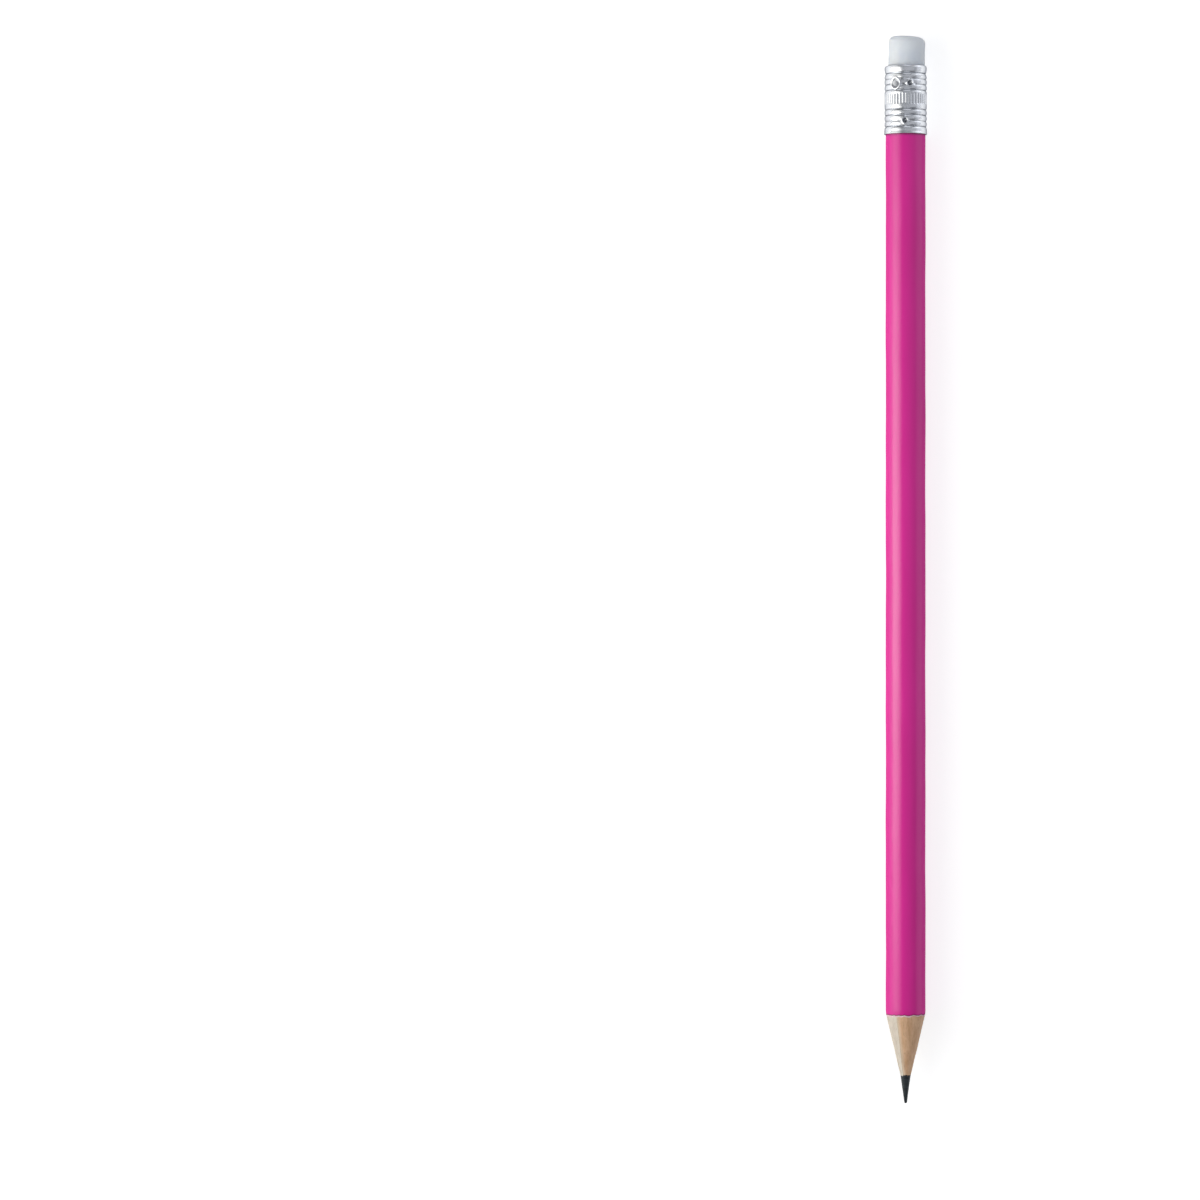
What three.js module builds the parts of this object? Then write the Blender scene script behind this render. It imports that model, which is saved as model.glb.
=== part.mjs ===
// A round wooden pencil with a crimped ferrule and an eraser plug, in millimetres, +Z up.
// It lies along +Y with its point towards -Y. The origin is on the surface under its middle.
import * as THREE from "three";
import { mergeGeometries, mergeVertices } from "three/addons/utils/BufferGeometryUtils.js";

// Barrel
const barrelDiameter = 7.0; // over the paint
const paintedLength = 155.1; // from the sharpened edge to the ferrule's mouth
const colourCoat = 0.06; // thickness of the coloured paint
const undercoat = 0.05; // thickness of the white primer under it
const glueLine = 0.04; // glue between the two halves of the casing

// Point
const leadDiameter = 1.8;
const leadPointLength = 5.06; // bare lead, from the tip to the sharpened wood
const leadTipRadius = 0.24;
const leadPointHollow = 0.045; // how far the ground flank bows in at its middle
const woodConeLength = 10.7; // along the axis, from the bare lead to the paint
const featherLand = 0.05; // wood left standing at the sharpened end

// Ferrule
const ferruleWall = 0.2;
const ridgePitch = 1.0;
const ridgesPerGroup = 3;
const ridgeShoulder = 0.3; // of the pitch, from a groove to the flat of a ridge
const grooveDepth = 0.18;
const grooveSharpness = 1.5; // 1 for a round wave, more for narrower grooves
const mouthBand = 1.12; // plain band over the end of the paint
const middleBand = 3.44; // between the two groups of ridges
const topBand = 1.53; // plain band round the eraser
const mouthFlare = 0.03;
const mouthFlareHeight = 0.3;
const paintOverlap = 0.6; // how far the mouth reaches over the paint
const fluteCount = 38;
const fluteDepth = 0.1;
const fluteMarginBelow = 0.96; // plain stretch of the middle band, up to the flutes
const fluteMarginAbove = 0.44;

// Punched dimples that key the ferrule into the eraser and the wood, the same on both sides
const punchDepth = 0.5;
const punchTipRadius = 0.12;
const punchRadius = 0.6;
const punchRise = 1.2; // above the lowest groove of a group of ridges
const collarHeight = 0.05; // metal thrown up round a punch
const collarWidth = 0.45; // from the punch out to whole ridges
const eraserPunchTurn = THREE.MathUtils.degToRad(-10); // middle of a pair, from the top of the barrel
const eraserPunchSpread = THREE.MathUtils.degToRad(44); // between the two of a pair
const woodPunchTurn = THREE.MathUtils.degToRad(-2);

// Tenon and eraser
const tenonStep = 0.08; // how much the casing is turned down to take the ferrule
const eraserExposed = 5.06; // out of the ferrule
const eraserDraft = 0.08; // how much slimmer the free end is than the plug in the ferrule
const eraserDraftHeight = 1.3;
const eraserEdgeRadius = 0.8;
const eraserCutTilt = THREE.MathUtils.degToRad(3.5); // the end is cut a little out of square

// Fits
const bondGap = 0.01; // each side of a film of paint or glue
const crimpClearance = 0.05; // between the ferrule's grooves and what they grip
const paintClearance = 0.05; // between the ferrule's mouth and the paint
const lipClearance = 0.1; // between the ferrule's turned-in lip and the eraser
const dentClearance = 0.15; // between a punch and the dent that it presses
const buttGap = 0.1; // between the eraser and the end of the wood

// Facets
const fullTurn = 2 * Math.PI;
const columns = 2 * fluteCount; // round every turned piece: a crest and a root for each flute
const columnAngle = fullTurn / columns;
const facetPhase = columnAngle / 2; // a facet, and not an edge, faces straight down
const seamColumn = -7; // where the glue line comes to the surface, counted from the top
const seamAngle = facetPhase + seamColumn * columnAngle;
const leadColumns = columns / 2;
const tipFacets = 4;
const flankFacets = 6;
const lipFacets = 3;
const edgeFacets = 5;

// Radii, from the paint inwards and from the tenon outwards
const paintRadius = barrelDiameter / 2;
const undercoatRadius = paintRadius - colourCoat - bondGap;
const woodRadius = undercoatRadius - undercoat - bondGap;
const leadRadius = leadDiameter / 2;
const leadGrooveRadius = leadRadius + bondGap;
const plugRadius = woodRadius - tenonStep; // tenon and eraser share the ferrule's bore
const grooveBore = plugRadius + crimpClearance;
const ridgeBore = grooveBore + grooveDepth;
const ridgeRadius = ridgeBore + ferruleWall;
const mouthBore = paintRadius + paintClearance;
const mouthRadius = mouthBore + ferruleWall;
const lipRadius = plugRadius + lipClearance;

// Stations along +Y, from the tip of the lead
const woodStart = leadPointLength; // where the sharpened cone would meet the lead's own radius
const paintStart = woodStart + woodConeLength;
const ferruleMouth = paintStart + paintedLength;
const shoulder = ferruleMouth + paintOverlap;
const lowerRidges = ferruleMouth + mouthBand;
const middleStart = lowerRidges + ridgesPerGroup * ridgePitch;
const upperRidges = middleStart + middleBand;
const tenonEnd = middleStart + middleBand / 2; // under the flutes
const topStart = upperRidges + ridgesPerGroup * ridgePitch;
const ferruleTop = topStart + topBand;
const eraserBase = tenonEnd + buttGap;
const eraserTop = ferruleTop + eraserExposed;

const { lerp, smoothstep } = THREE.MathUtils;
const middle = (low, high) => lerp(low, high, 0.5);
const point = (radius, y) => new THREE.Vector2(radius, y);

// The sharpened cone, which cuts the wood and both films of paint alike.
const coneSlope = (paintRadius - leadRadius) / woodConeLength;
const coneStation = (radius) => woodStart + (radius - leadRadius) / coneSlope;

// Every punch as an angle from the top of the barrel and a station.
const punches = [0, Math.PI].flatMap((side) => [
  { angle: side + eraserPunchTurn - eraserPunchSpread / 2, y: upperRidges + punchRise },
  { angle: side + eraserPunchTurn + eraserPunchSpread / 2, y: upperRidges + punchRise },
  { angle: side + woodPunchTurn, y: lowerRidges + punchRise },
]);

// How far a place on the ferrule's skin is from the nearest punch.
function punchDistance(angle, y) {
  const distances = punches.map((punch) => {
    const turn = angle - punch.angle;
    const around = ridgeRadius * Math.atan2(Math.sin(turn), Math.cos(turn));
    return Math.hypot(around, y - punch.y);
  });
  return Math.min(...distances);
}

const pressedIn = (distance) => punchDepth * (1 - smoothstep(distance, punchTipRadius, punchRadius));

const collarReach = punchRadius + collarWidth;

function thrownUp(distance) {
  const crest = middle(punchRadius, collarReach);
  const rise = smoothstep(distance, punchTipRadius, crest);
  return collarHeight * rise * (1 - smoothstep(distance, crest, collarReach));
}

// Rolled grooves: one below, between and above the ridges of each group.
const grooveStations = [lowerRidges, upperRidges].flatMap((start) =>
  Array.from({ length: ridgesPerGroup + 1 }, (_, i) => start + i * ridgePitch),
);

function grooveAt(y) {
  const nearest = Math.min(...grooveStations.map((station) => Math.abs(y - station)));
  const rise = Math.sin((Math.PI * Math.min(nearest, ridgePitch / 2)) / ridgePitch);
  return grooveDepth * (1 - rise) ** grooveSharpness;
}

// A closed solid turned about +Y. shape(point, angle, column) gives a point's radius in a column.
function turned(outline, { around = columns, start = facetPhase, sweep = fullTurn, shape } = {}) {
  const geometry = new THREE.LatheGeometry(outline, around, start, sweep);
  if (!shape) return geometry;
  const place = geometry.attributes.position;
  for (let i = 0; i < place.count; i++) {
    const index = i % outline.length;
    const column = Math.floor(i / outline.length);
    const angle = start + (sweep * column) / around;
    const radius = shape(outline[index], angle, column % around);
    place.setXYZ(i, radius * Math.sin(angle), outline[index].y, radius * Math.cos(angle));
  }
  return geometry;
}

const closed = (outline) => [...outline, outline[0]];

// Grooves and ridge shoulders over one group of ridges.
function ridgeStations(start) {
  const shares = [0, ridgeShoulder, 1 - ridgeShoulder];
  const ridges = Array.from({ length: ridgesPerGroup }, (_, i) => shares.map((share) => i + share));
  return [...ridges.flat(), ridgesPerGroup].map((pitches) => start + pitches * ridgePitch);
}

// Those of them that a punch reaches.
function punchedStations(start) {
  return ridgeStations(start).filter((y) => Math.abs(y - start - punchRise) < punchRadius);
}

// Tenon and eraser give way under the punches, and keep their own radius elsewhere.
function dented(outlinePoint, angle) {
  const room = ridgeBore - pressedIn(punchDistance(angle, outlinePoint.y)) - dentClearance;
  return Math.min(outlinePoint.x, room);
}

// Graphite core: a rod through the casing, ground to a slightly hollow point with a rounded tip.
function leadGeometry() {
  const flankStart = point(leadTipRadius, leadTipRadius);
  const flankEnd = point(leadRadius, woodStart);
  const bow = point(middle(flankStart.x, flankEnd.x), middle(flankStart.y, flankEnd.y));
  bow.x -= 2 * leadPointHollow;
  const tip = new THREE.EllipseCurve(0, leadTipRadius, leadTipRadius, leadTipRadius, -Math.PI / 2, 0);
  const flank = new THREE.QuadraticBezierCurve(flankStart, bow, flankEnd);
  const outline = [
    point(0, 0),
    ...tip.getPoints(tipFacets).slice(1),
    ...flank.getPoints(flankFacets).slice(1),
    point(leadRadius, tenonEnd),
    point(0, tenonEnd),
  ];
  return turned(outline, { around: leadColumns });
}

// Outline of one half of the casing in a plane through the axis, drawn in by inset.
function casingOutline(inset, tenonStations) {
  const inner = leadGrooveRadius + inset;
  const outer = woodRadius - inset;
  const tenon = plugRadius - inset;
  const endRadius = leadGrooveRadius + featherLand;
  const woodEnd = coneStation(endRadius);
  return [
    point(inner, woodEnd + inset),
    point(endRadius, woodEnd + inset),
    point(outer, coneStation(outer) + inset),
    point(outer, shoulder - inset),
    point(tenon, shoulder - inset),
    ...tenonStations.map((y) => point(tenon, y)),
    point(tenon, tenonEnd - inset),
    point(inner, tenonEnd - inset),
  ];
}

// Half of the casing: a grooved slat turned through half a circle, with its two glued faces.
function casingHalfGeometry(start) {
  const outline = casingOutline(0, punchedStations(lowerRidges));
  const skin = turned(closed(outline), { around: columns / 2, start, sweep: Math.PI, shape: dented });
  const faces = [start, start + Math.PI].map((angle, i) => {
    const face = new THREE.ShapeGeometry(new THREE.Shape(outline));
    if (i === 1) face.index.array.reverse();
    return face.rotateY(angle - Math.PI / 2);
  });
  const half = mergeGeometries([skin, ...faces]);
  half.deleteAttribute("normal");
  half.deleteAttribute("uv");
  return planedTo(mergeVertices(half), start, glueLine / 2 + bondGap);
}

// Planes the glued faces back from the seam plane to leave room for the glue.
function planedTo(geometry, start, depth) {
  const outward = new THREE.Vector3(Math.sin(start + Math.PI / 2), 0, Math.cos(start + Math.PI / 2));
  const place = geometry.attributes.position;
  const vertex = new THREE.Vector3();
  for (let i = 0; i < place.count; i++) {
    vertex.fromBufferAttribute(place, i);
    const short = depth - vertex.dot(outward);
    if (short > 0) vertex.addScaledVector(outward, short);
    place.setXYZ(i, vertex.x, vertex.y, vertex.z);
  }
  return geometry;
}

// Film of glue on one side of the lead, between the two halves.
function glueGeometry(angle) {
  const film = new THREE.Shape(casingOutline(bondGap, []));
  const geometry = new THREE.ExtrudeGeometry(film, { depth: glueLine, bevelEnabled: false });
  return geometry.translate(0, 0, -glueLine / 2).rotateY(angle - Math.PI / 2);
}

// One film of paint: a sleeve whose lower end is cut by the sharpened cone.
function filmGeometry(innerRadius, outerRadius) {
  return turned(
    closed([
      point(innerRadius, coneStation(innerRadius)),
      point(outerRadius, coneStation(outerRadius)),
      point(outerRadius, shoulder),
      point(innerRadius, shoulder),
    ]),
  );
}

// Ferrule: a thin tube with a flared mouth, two groups of rolled ridges, a fluted band between
// them, a turned-in lip round the eraser, and the punched dimples.
function ferruleGeometry() {
  const lipTurn = ridgeRadius - lipRadius;
  const lipCentre = ferruleTop - lipTurn;
  const fluteStart = middleStart + fluteMarginBelow;
  const fluteEnd = upperRidges - fluteMarginAbove;
  const skirtEnd = middle(shoulder, middle(shoulder, lowerRidges));
  const middleRise = middle(middleStart, fluteStart);
  const topRise = middle(topStart, lipCentre);
  const rootRadius = ridgeRadius - fluteDepth;

  const outside = [
    point(mouthRadius + mouthFlare, ferruleMouth),
    point(mouthRadius, ferruleMouth + mouthFlareHeight),
    point(mouthRadius, skirtEnd),
    ...ridgeStations(lowerRidges).map((y) => point(ridgeRadius, y)),
    point(ridgeRadius, middleRise),
    point(ridgeRadius, fluteStart),
    point(rootRadius, fluteStart + fluteDepth),
    point(rootRadius, fluteEnd - fluteDepth),
    point(ridgeRadius, fluteEnd),
    ...ridgeStations(upperRidges).map((y) => point(ridgeRadius, y)),
    point(ridgeRadius, topRise),
  ];
  const lip = new THREE.EllipseCurve(lipRadius, lipCentre, lipTurn, lipTurn, 0, Math.PI / 2);
  const inside = [
    point(lipRadius, ferruleTop - ferruleWall),
    point(ridgeBore, lipCentre),
    point(ridgeBore, topRise),
    ...ridgeStations(upperRidges).reverse().map((y) => point(ridgeBore, y)),
    point(ridgeBore, middleRise),
    ...ridgeStations(lowerRidges).reverse().map((y) => point(ridgeBore, y)),
    point(mouthBore, skirtEnd),
    point(mouthBore, ferruleMouth),
  ];
  const outline = closed([...outside, ...lip.getPoints(lipFacets), ...inside]);

  // Flute crests stand proud of the roots drawn above. Punches crush the grooves near them.
  const embossed = (place, angle, column) => {
    const distance = punchDistance(angle, place.y);
    const whole = smoothstep(distance, punchRadius, collarReach);
    const crest = place.x === rootRadius && column % 2 === 0 ? fluteDepth : 0;
    return place.x + crest - grooveAt(place.y) * whole - pressedIn(distance) + thrownUp(distance);
  };
  return turned(outline, { shape: embossed });
}

// Eraser: a rubber plug, gripped by the ferrule, with a rounded and slightly slanting free end.
function eraserGeometry() {
  const freeRadius = plugRadius - eraserDraft;
  const edgeCentre = point(freeRadius - eraserEdgeRadius, eraserTop - eraserEdgeRadius);
  const edge = new THREE.EllipseCurve(
    edgeCentre.x, edgeCentre.y, eraserEdgeRadius, eraserEdgeRadius, 0, Math.PI / 2,
  );
  const outline = [
    point(0, eraserBase),
    point(plugRadius, eraserBase),
    ...punchedStations(upperRidges).map((y) => point(plugRadius, y)),
    point(plugRadius, ferruleTop),
    point(freeRadius, ferruleTop + eraserDraftHeight),
    ...edge.getPoints(edgeFacets),
    point(0, eraserTop),
  ];
  const geometry = turned(outline, { shape: dented });
  const place = geometry.attributes.position;
  for (let i = 0; i < place.count; i++) {
    const share = smoothstep(place.getY(i), ferruleTop, edgeCentre.y);
    place.setY(i, place.getY(i) - share * place.getX(i) * Math.tan(eraserCutTilt));
  }
  return geometry;
}

const graphite = new THREE.MeshStandardMaterial({ color: 0x36383b, roughness: 0.45, metalness: 0.3 });
const leftWood = new THREE.MeshStandardMaterial({ color: 0xcdb591, roughness: 0.7, metalness: 0 });
const rightWood = new THREE.MeshStandardMaterial({ color: 0xc2a27a, roughness: 0.7, metalness: 0 });
const glue = new THREE.MeshStandardMaterial({ color: 0xd9cbab, roughness: 0.5, metalness: 0 });
const primer = new THREE.MeshStandardMaterial({ color: 0xf3eeec, roughness: 0.6, metalness: 0 });
const magentaPaint = new THREE.MeshStandardMaterial({ color: 0xcd238a, roughness: 0.2, metalness: 0 });
const aluminium = new THREE.MeshStandardMaterial({ color: 0xd4d7da, roughness: 0.25, metalness: 1 });
const rubber = new THREE.MeshStandardMaterial({ color: 0xe4e6ea, roughness: 0.8, metalness: 0 });

const pieces = [
  ["graphite_core", leadGeometry(), graphite],
  ["casing_half_right", casingHalfGeometry(seamAngle), rightWood],
  ["casing_half_left", casingHalfGeometry(seamAngle + Math.PI), leftWood],
  ["glue_line_front", glueGeometry(seamAngle), glue],
  ["glue_line_back", glueGeometry(seamAngle + Math.PI), glue],
  ["undercoat", filmGeometry(woodRadius + bondGap, undercoatRadius), primer],
  ["colour_coat", filmGeometry(undercoatRadius + bondGap, paintRadius), magentaPaint],
  ["ferrule", ferruleGeometry(), aluminium],
  ["eraser_plug", eraserGeometry(), rubber],
];

const pencil = new THREE.Group();
for (const [name, geometry, material] of pieces) {
  const piece = new THREE.Mesh(geometry, material);
  piece.name = name;
  pencil.add(piece);
}
// The ferrule's flared mouth is the widest ring, and one facet of it lies on the surface.
const bounds = new THREE.Box3().setFromObject(pencil);
pencil.position.set(0, -middle(bounds.min.y, bounds.max.y), -bounds.min.z);

const part = new THREE.Group();
part.add(pencil);
export default part;
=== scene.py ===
import math
import bpy
import numpy as np
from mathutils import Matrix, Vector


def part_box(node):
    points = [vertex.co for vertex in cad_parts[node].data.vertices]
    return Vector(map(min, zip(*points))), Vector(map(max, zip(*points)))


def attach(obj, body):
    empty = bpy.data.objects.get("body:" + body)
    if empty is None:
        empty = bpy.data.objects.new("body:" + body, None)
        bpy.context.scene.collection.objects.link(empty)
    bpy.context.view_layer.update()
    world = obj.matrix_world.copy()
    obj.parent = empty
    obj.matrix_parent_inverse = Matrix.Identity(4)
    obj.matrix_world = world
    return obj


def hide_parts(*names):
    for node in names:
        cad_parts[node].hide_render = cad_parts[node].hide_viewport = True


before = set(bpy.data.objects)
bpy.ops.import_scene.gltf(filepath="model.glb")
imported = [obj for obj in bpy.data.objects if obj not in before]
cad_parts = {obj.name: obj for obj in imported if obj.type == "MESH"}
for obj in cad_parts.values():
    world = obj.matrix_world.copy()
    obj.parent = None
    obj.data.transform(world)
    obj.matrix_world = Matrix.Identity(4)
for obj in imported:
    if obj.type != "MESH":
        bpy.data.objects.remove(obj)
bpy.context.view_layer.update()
print("frame loaded:", len(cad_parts), "nodes")

mm = 0.001
leadLow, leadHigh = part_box("graphite_core")
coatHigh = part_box("colour_coat")[1]
ferruleLow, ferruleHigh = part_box("ferrule")
eraserLow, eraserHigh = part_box("eraser_plug")

# what several pieces share: stations along Y from the frame, radii and lengths of the point
pencil = {
    "axisHeight": (ferruleLow.z + ferruleHigh.z) / 2,
    "tip": leadLow.y,
    "tenonEnd": leadHigh.y,
    "shoulder": coatHigh.y,
    "mouth": ferruleLow.y,
    "ferruleTop": ferruleHigh.y,
    "barrelRadius": 3.5 * mm,
    "undercoatRadius": 3.43 * mm,
    "woodRadius": 3.37 * mm,
    "tenonRadius": 3.29 * mm,
    "leadRadius": 0.9 * mm,
    "leadLength": 4.86 * mm,
    "coneLength": 11.02 * mm,
    "seamTurn": math.radians(-30.8),  # where the glue line shows, from straight up towards +X
}
coneStart = pencil["tip"] + pencil["leadLength"]
paintStart = coneStart + pencil["coneLength"]
coneSlope = (pencil["barrelRadius"] - pencil["leadRadius"]) / pencil["coneLength"]


def coneRadius(y):
    return pencil["leadRadius"] + coneSlope * (y - coneStart)


def coneStation(radius):
    return coneStart + (radius - pencil["leadRadius"]) / coneSlope


def smoothStep(value, low, high):
    share = np.clip((value - low) / (high - low), 0, 1)
    return share * share * (3 - 2 * share)


# 1 in the middle and 0 at both ends
def arch(share):
    return 4 * share * (1 - share)


def span(first, last, steps):
    return [first + (last - first) * i / steps for i in range(steps + 1)]


def arc(centre, radius, startDegrees, endDegrees, steps):
    turns = [math.radians(d) for d in span(startDegrees, endDegrees, steps)]
    return [(centre[0] + radius * math.cos(t), centre[1] + radius * math.sin(t)) for t in turns]


# modelling

meshing = {
    "seed": 1 * mm,  # the plane that shrinks to a profile's first vertex
    "turnWeld": 0.0001 * mm,
    "weld": 0.0002 * mm,
    "slack": 0.01 * mm,  # a vertex this near a limit still counts as on it
    "smoothAngle": math.radians(35),
}


def deselectAll():
    if bpy.context.object and bpy.context.object.mode != "OBJECT":
        bpy.ops.object.mode_set(mode="OBJECT")
    bpy.ops.object.select_all(action="DESELECT")


# a single vertex, drawn out along (radius, y) points in the half plane at this turn round the axis
def drawProfile(name, points, turn=0.0, closed=False):
    deselectAll()
    bpy.ops.mesh.primitive_plane_add(size=meshing["seed"], location=(0, 0, pencil["axisHeight"]))
    piece = bpy.context.object
    piece.name = name
    piece.data.name = name
    places = [(r * math.sin(turn), y, r * math.cos(turn)) for r, y in points]
    bpy.ops.object.mode_set(mode="EDIT")
    bpy.ops.mesh.merge(type="CENTER")
    bpy.ops.transform.translate(value=places[0])
    for last, place in zip(places, places[1:]):
        step = [b - a for a, b in zip(last, place)]
        bpy.ops.mesh.extrude_vertices_move(TRANSFORM_OT_translate={"value": step})
    if closed:
        bpy.ops.object.mode_set(mode="OBJECT")
        piece.data.vertices[0].select = True
        bpy.ops.object.mode_set(mode="EDIT")
        bpy.ops.mesh.edge_face_add()
    bpy.ops.object.mode_set(mode="OBJECT")
    return piece


# spins the profile about the pencil's axis and leaves the object at the origin
def turnProfile(piece, steps, sweep=2 * math.pi):
    turning = piece.modifiers.new("turn", "SCREW")
    turning.axis = "Y"
    turning.angle = sweep
    turning.steps = steps
    turning.render_steps = steps
    turning.use_merge_vertices = True
    turning.merge_threshold = meshing["turnWeld"]
    bpy.ops.object.modifier_apply(modifier=turning.name)
    bpy.ops.object.transform_apply(location=True, rotation=True, scale=True)
    bpy.ops.object.mode_set(mode="EDIT")
    bpy.ops.mesh.select_all(action="SELECT")
    bpy.ops.mesh.remove_doubles(threshold=meshing["weld"])
    if sweep < 2 * math.pi:
        bpy.ops.mesh.fill_holes(sides=0)
        bpy.ops.mesh.select_all(action="SELECT")
    bpy.ops.mesh.normals_make_consistent(inside=False)
    bpy.ops.object.mode_set(mode="OBJECT")


def readPlaces(piece):
    places = np.empty(len(piece.data.vertices) * 3)
    piece.data.vertices.foreach_get("co", places)
    return places.reshape(-1, 3)


def writePlaces(piece, places):
    piece.data.vertices.foreach_set("co", places.ravel())
    piece.data.update()


# moves every vertex by a rule that takes and gives radius, turn from straight up, and y,
# and that may add a shift towards +X
def reshape(piece, rule):
    places = readPlaces(piece)
    across, up = places[:, 0], places[:, 2] - pencil["axisHeight"]
    radius, turn, y, *aside = rule(np.hypot(across, up), np.arctan2(across, up), places[:, 1].copy())
    places = np.stack([radius * np.sin(turn), y, radius * np.cos(turn) + pencil["axisHeight"]], axis=1)
    if aside:
        places[:, 0] += aside[0]
    writePlaces(piece, places)


# keeps a number at every vertex for the material to read
def markPoints(piece, name, values):
    attribute = piece.data.attributes.new(name, "FLOAT", "POINT")
    attribute.data.foreach_set("value", values.astype(np.float32))


# a sum of slow waves round and along the pencil: (height, waves round, length along, phase)
def ripple(turn, y, waves):
    return sum(h * np.sin(n * turn + 2 * math.pi * y / length + phase) for h, n, length, phase in waves)


# a sum of waves round the pencil alone: (height, waves round, phase)
def sway(turn, waves):
    return sum(h * np.sin(n * turn + phase) for h, n, phase in waves)


def finishPiece(piece, node, material):
    deselectAll()
    piece.select_set(True)
    bpy.context.view_layer.objects.active = piece
    bpy.ops.object.shade_smooth_by_angle(angle=meshing["smoothAngle"])
    piece.data.materials.clear()
    piece.data.materials.append(material)
    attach(piece, "root")
    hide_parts(node)
    print("made", piece.name, len(piece.data.polygons), "faces")


# materials

# a colour given in levels of 0 to 255, as the shader wants it, by the sRGB curve
def linear(red, green, blue):
    parts = [c / 255 for c in (red, green, blue)]
    return [c / 12.92 if c <= 0.04045 else ((c + 0.055) / 1.055) ** 2.4 for c in parts] + [1]


def newMaterial(name):
    material = bpy.data.materials.new(name)
    material.use_nodes = True
    return material, material.node_tree, material.node_tree.nodes["Principled BSDF"]


def setInput(tree, node, key, value):
    socket = node.inputs[key]
    if isinstance(value, bpy.types.NodeSocket):
        tree.links.new(value, socket)
    else:
        socket.default_value = value


def addNode(tree, kind, settings=None, **inputs):
    node = tree.nodes.new(kind)
    for key, value in (settings or {}).items():
        setattr(node, key, value)
    for key, value in inputs.items():
        setInput(tree, node, key, value)
    return node


def calculate(tree, operation, first, second):
    node = addNode(tree, "ShaderNodeMath", {"operation": operation})
    setInput(tree, node, 0, first)
    setInput(tree, node, 1, second)
    return node.outputs[0]


def objectPlace(tree):
    return addNode(tree, "ShaderNodeTexCoord").outputs["Object"]


def pointMark(tree, name):
    return addNode(tree, "ShaderNodeAttribute", {"attribute_name": name}).outputs["Fac"]


# noise on object coordinates: bigger numbers in the scale make it finer
def noise(tree, scale, detail=3.0, roughness=0.5):
    stretched = addNode(tree, "ShaderNodeMapping", Vector=objectPlace(tree), Scale=scale)
    node = addNode(tree, "ShaderNodeTexNoise", Vector=stretched.outputs["Vector"])
    node.inputs["Scale"].default_value = 1
    node.inputs["Detail"].default_value = detail
    node.inputs["Roughness"].default_value = roughness
    return node.outputs["Fac"]


mixSockets = {"factor": 0, "first": 6, "second": 7, "result": 2}  # places of a mix node's colour sockets


def mixColour(tree, factor, first, second):
    node = addNode(tree, "ShaderNodeMix", {"data_type": "RGBA"})
    setInput(tree, node, mixSockets["factor"], factor)
    setInput(tree, node, mixSockets["first"], first)
    setInput(tree, node, mixSockets["second"], second)
    return node.outputs[mixSockets["result"]]


def remap(tree, value, fromLow, fromHigh, toLow, toHigh):
    node = addNode(tree, "ShaderNodeMapRange", Value=value)
    limits = {"From Min": fromLow, "From Max": fromHigh, "To Min": toLow, "To Max": toHigh}
    for key, number in limits.items():
        node.inputs[key].default_value = number
    return node.outputs["Result"]


# goes from one colour towards another as a value passes from the low limit to the high one
def tint(tree, value, limits, first, second, strength=1):
    return mixColour(tree, remap(tree, value, *limits, 0, strength), first, second)


def bump(tree, height, distance, under=None):
    node = addNode(tree, "ShaderNodeBump", Height=height, Distance=distance)
    node.inputs["Strength"].default_value = 1
    if under:
        tree.links.new(under, node.inputs["Normal"])
    return node.outputs["Normal"]


# a rougher surface where it turns away from the eye
def dullGlance(tree, roughness, start, end, added):
    facing = addNode(tree, "ShaderNodeLayerWeight", Blend=0.5).outputs["Facing"]  # 0.5 is a plain cosine
    return calculate(tree, "ADD", roughness, remap(tree, facing, start, end, 0, added))


paintLook = {
    "colour": linear(232, 21, 157),
    "deeper": linear(223, 15, 149),
    "clouds": {"scale": (260, 40, 260)},
    "cloudRange": (0.35, 0.65),
    "scuffs": {"scale": (1500, 90, 1500), "detail": 2},
    "scuffRange": (0.3, 0.75),
    "roughness": (0.276, 0.29),
    "glancing": (0.22, 0.5, 0.42),  # where it starts to dull as it turns away, where it ends, how much
    "refraction": 1.61,
    "peel": {"scale": (900, 900, 900), "detail": 2},
    "peelHeight": 0.0012 * mm,
    "rimShadeColour": linear(96, 8, 66),
    "rimShadeStrength": 0.8,
    "shadeReach": 0.5 * mm,  # how far below the ferrule the painted shade of its rim fades out
    "cutShadeColour": linear(112, 7, 64),
}


def paintMaterial():
    material, tree, surface = newMaterial("magentaPaint")
    cloud = noise(tree, **paintLook["clouds"])
    peel = noise(tree, **paintLook["peel"])
    scuff = noise(tree, **paintLook["scuffs"])
    tone = tint(tree, cloud, paintLook["cloudRange"], paintLook["colour"], paintLook["deeper"])
    along = addNode(tree, "ShaderNodeSeparateXYZ", Vector=objectPlace(tree)).outputs["Y"]
    # painted shade: the paint darkens just below the ferrule's rim, as if the rim shaded it
    underRimShade = (pencil["mouth"] - paintLook["shadeReach"], pencil["mouth"])
    tone = tint(tree, along, underRimShade, tone, paintLook["rimShadeColour"], paintLook["rimShadeStrength"])
    # painted shade: the paint darkens along its cut edge near the point
    tone = mixColour(tree, pointMark(tree, "paintedCutShade"), tone, paintLook["cutShadeColour"])
    setInput(tree, surface, "Base Color", tone)
    rough = remap(tree, scuff, *paintLook["scuffRange"], *paintLook["roughness"])
    setInput(tree, surface, "Roughness", dullGlance(tree, rough, *paintLook["glancing"]))
    setInput(tree, surface, "Normal", bump(tree, peel, paintLook["peelHeight"]))
    surface.inputs["IOR"].default_value = paintLook["refraction"]
    return material


primerLook = {
    "colour": linear(250, 228, 230),
    "stained": linear(232, 186, 196),
    "stains": {"scale": (1400, 1400, 1400)},
    "stainRange": (0.4, 0.7),
    "stainHeight": 0.004 * mm,
    "roughness": 0.7,
}


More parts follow.
